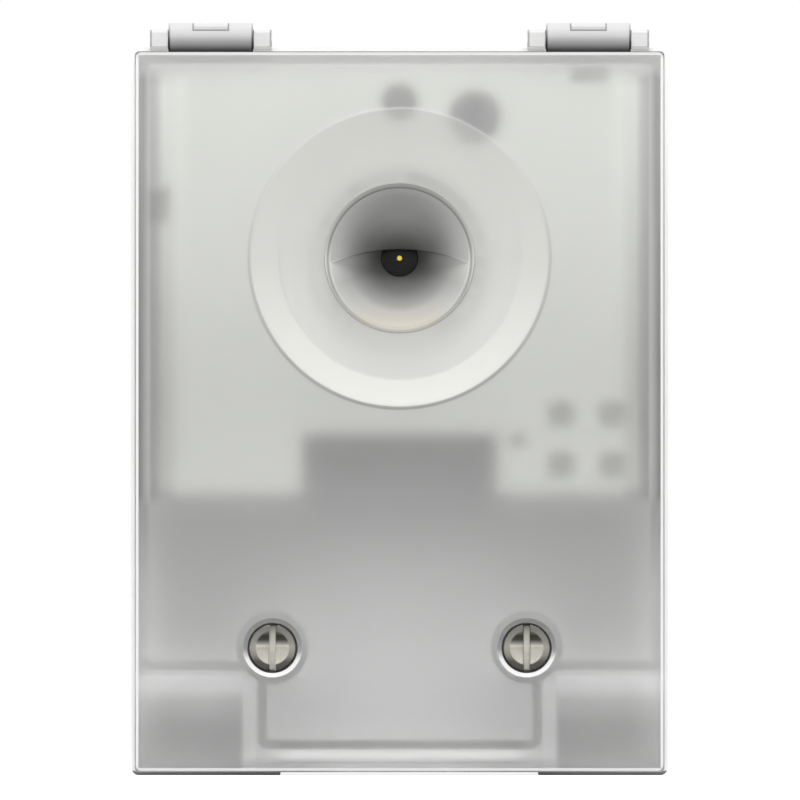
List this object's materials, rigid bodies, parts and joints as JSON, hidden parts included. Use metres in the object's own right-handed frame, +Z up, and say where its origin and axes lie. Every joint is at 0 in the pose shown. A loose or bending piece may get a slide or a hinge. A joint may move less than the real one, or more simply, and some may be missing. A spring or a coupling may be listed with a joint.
{
  "type": "twilight switch",
  "caption": "Wall-mounted twilight switch with a frosted cover hinged at the top, a light sensor in a hooded funnel and captive slotted cover screws.",
  "frame": {"origin": "centre of the flat rear face that lies on the wall, at half the housing's height", "axes": "+Z up, +X to the right as seen from the front, +Y into the wall; the front faces -Y"},
  "size_m": [0.075, 0.039, 0.105],
  "materials": {
    "grey_plastic": "moulded polycarbonate, light grey, fine texture",
    "frosted_plastic": "frosted see-through polycarbonate",
    "cream_plastic": "moulded plastic, warm white",
    "funnel_plastic": "moulded plastic, light warm grey, satin",
    "lens_plastic": "clear moulded lens",
    "seal_rubber": "black rubber ring",
    "clear_rubber": "milky silicone seal",
    "grommet_rubber": "soft grey rubber",
    "brass": "turned brass",
    "pin_steel": "drawn stainless steel",
    "plated_steel": "zinc-plated steel",
    "nickel_screw": "nickel-plated, turned and slotted",
    "board_laminate": "green solder mask on glass laminate",
    "relay_plastic": "black moulded case",
    "capacitor_plastic": "yellow moulded case",
    "capacitor_sleeve": "dark shrink sleeve",
    "varistor_coat": "blue dipped coat",
    "resistor_coat": "white cement case",
    "black_plastic": "black moulded plastic",
    "terminal_plastic": "dark grey moulded plastic",
    "sensor_plastic": "black daylight-filter epoxy",
    "led_plastic": "smoky grey epoxy",
    "dial_plastic": "dark grey moulded plastic",
    "clip_plastic": "natural nylon"
  },
  "bodies": {
    "housing": {"rear_housing": "grey_plastic", "housing_gasket": "clear_rubber", "threaded_inserts": "brass", "hinge_pin_left": "pin_steel", "hinge_pin_right": "pin_steel", "cable_grommet_left": "grommet_rubber", "cable_grommet_right": "grommet_rubber", "circuit_board": "board_laminate", "relay": "relay_plastic", "mains_capacitor": "capacitor_plastic", "smoothing_capacitor": "capacitor_sleeve", "varistor": "varistor_coat", "fuse": "black_plastic", "control_chip": "black_plastic", "resistors": "resistor_coat", "terminal_block": "terminal_plastic", "terminal_cages": "plated_steel", "loop_terminal": "terminal_plastic", "module_cover": "cream_plastic", "light_sensor": "sensor_plastic", "sensor_holder": "black_plastic", "status_led": "led_plastic", "trimmer_body": "black_plastic"},
    "cover": {"front_cover": "frosted_plastic", "sensor_funnel": "funnel_plastic", "sensor_lens": "lens_plastic", "screw_seals": "seal_rubber"},
    "dial": {"threshold_dial": "dial_plastic"},
    "clip_left": {"captive_clip_left": "clip_plastic"},
    "clip_right": {"captive_clip_right": "clip_plastic"},
    "screw_left": {"cover_screw_left": "nickel_screw"},
    "screw_right": {"cover_screw_right": "nickel_screw"}
  },
  "joints": [
    {"name": "cover_hinge", "type": "hinge", "parent": "housing", "child": "cover", "pos_m": [0, -0.0267, 0.0519], "axis": [-1, 0, 0], "range_deg": [0, 110]},
    {"name": "dial_turn", "type": "hinge", "parent": "housing", "child": "dial", "pos_m": [0.0105, -0.03, 0.041], "axis": [0, -1, 0], "range_deg": [-135, 135]},
    {"name": "clip_slide_left", "type": "slide", "parent": "cover", "child": "clip_left", "axis": [0, -1, 0], "range_m": [0, 0.00408]},
    {"name": "screw_turn_left", "type": "hinge", "parent": "clip_left", "child": "screw_left", "pos_m": [-0.0177, -0.032, -0.0329], "axis": [0, -1, 0], "range_deg": [0, 2100]},
    {"name": "clip_slide_right", "type": "slide", "parent": "cover", "child": "clip_right", "axis": [0, -1, 0], "range_m": [0, 0.00408]},
    {"name": "screw_turn_right", "type": "hinge", "parent": "clip_right", "child": "screw_right", "pos_m": [0.0177, -0.032, -0.0329], "axis": [0, -1, 0], "range_deg": [0, 2100]}
  ],
  "couplings": [
    {"joint": "screw_turn_left", "follows": "clip_slide_left", "rad_per_m": 8976},
    {"joint": "screw_turn_right", "follows": "clip_slide_right", "rad_per_m": 8976}
  ]
}
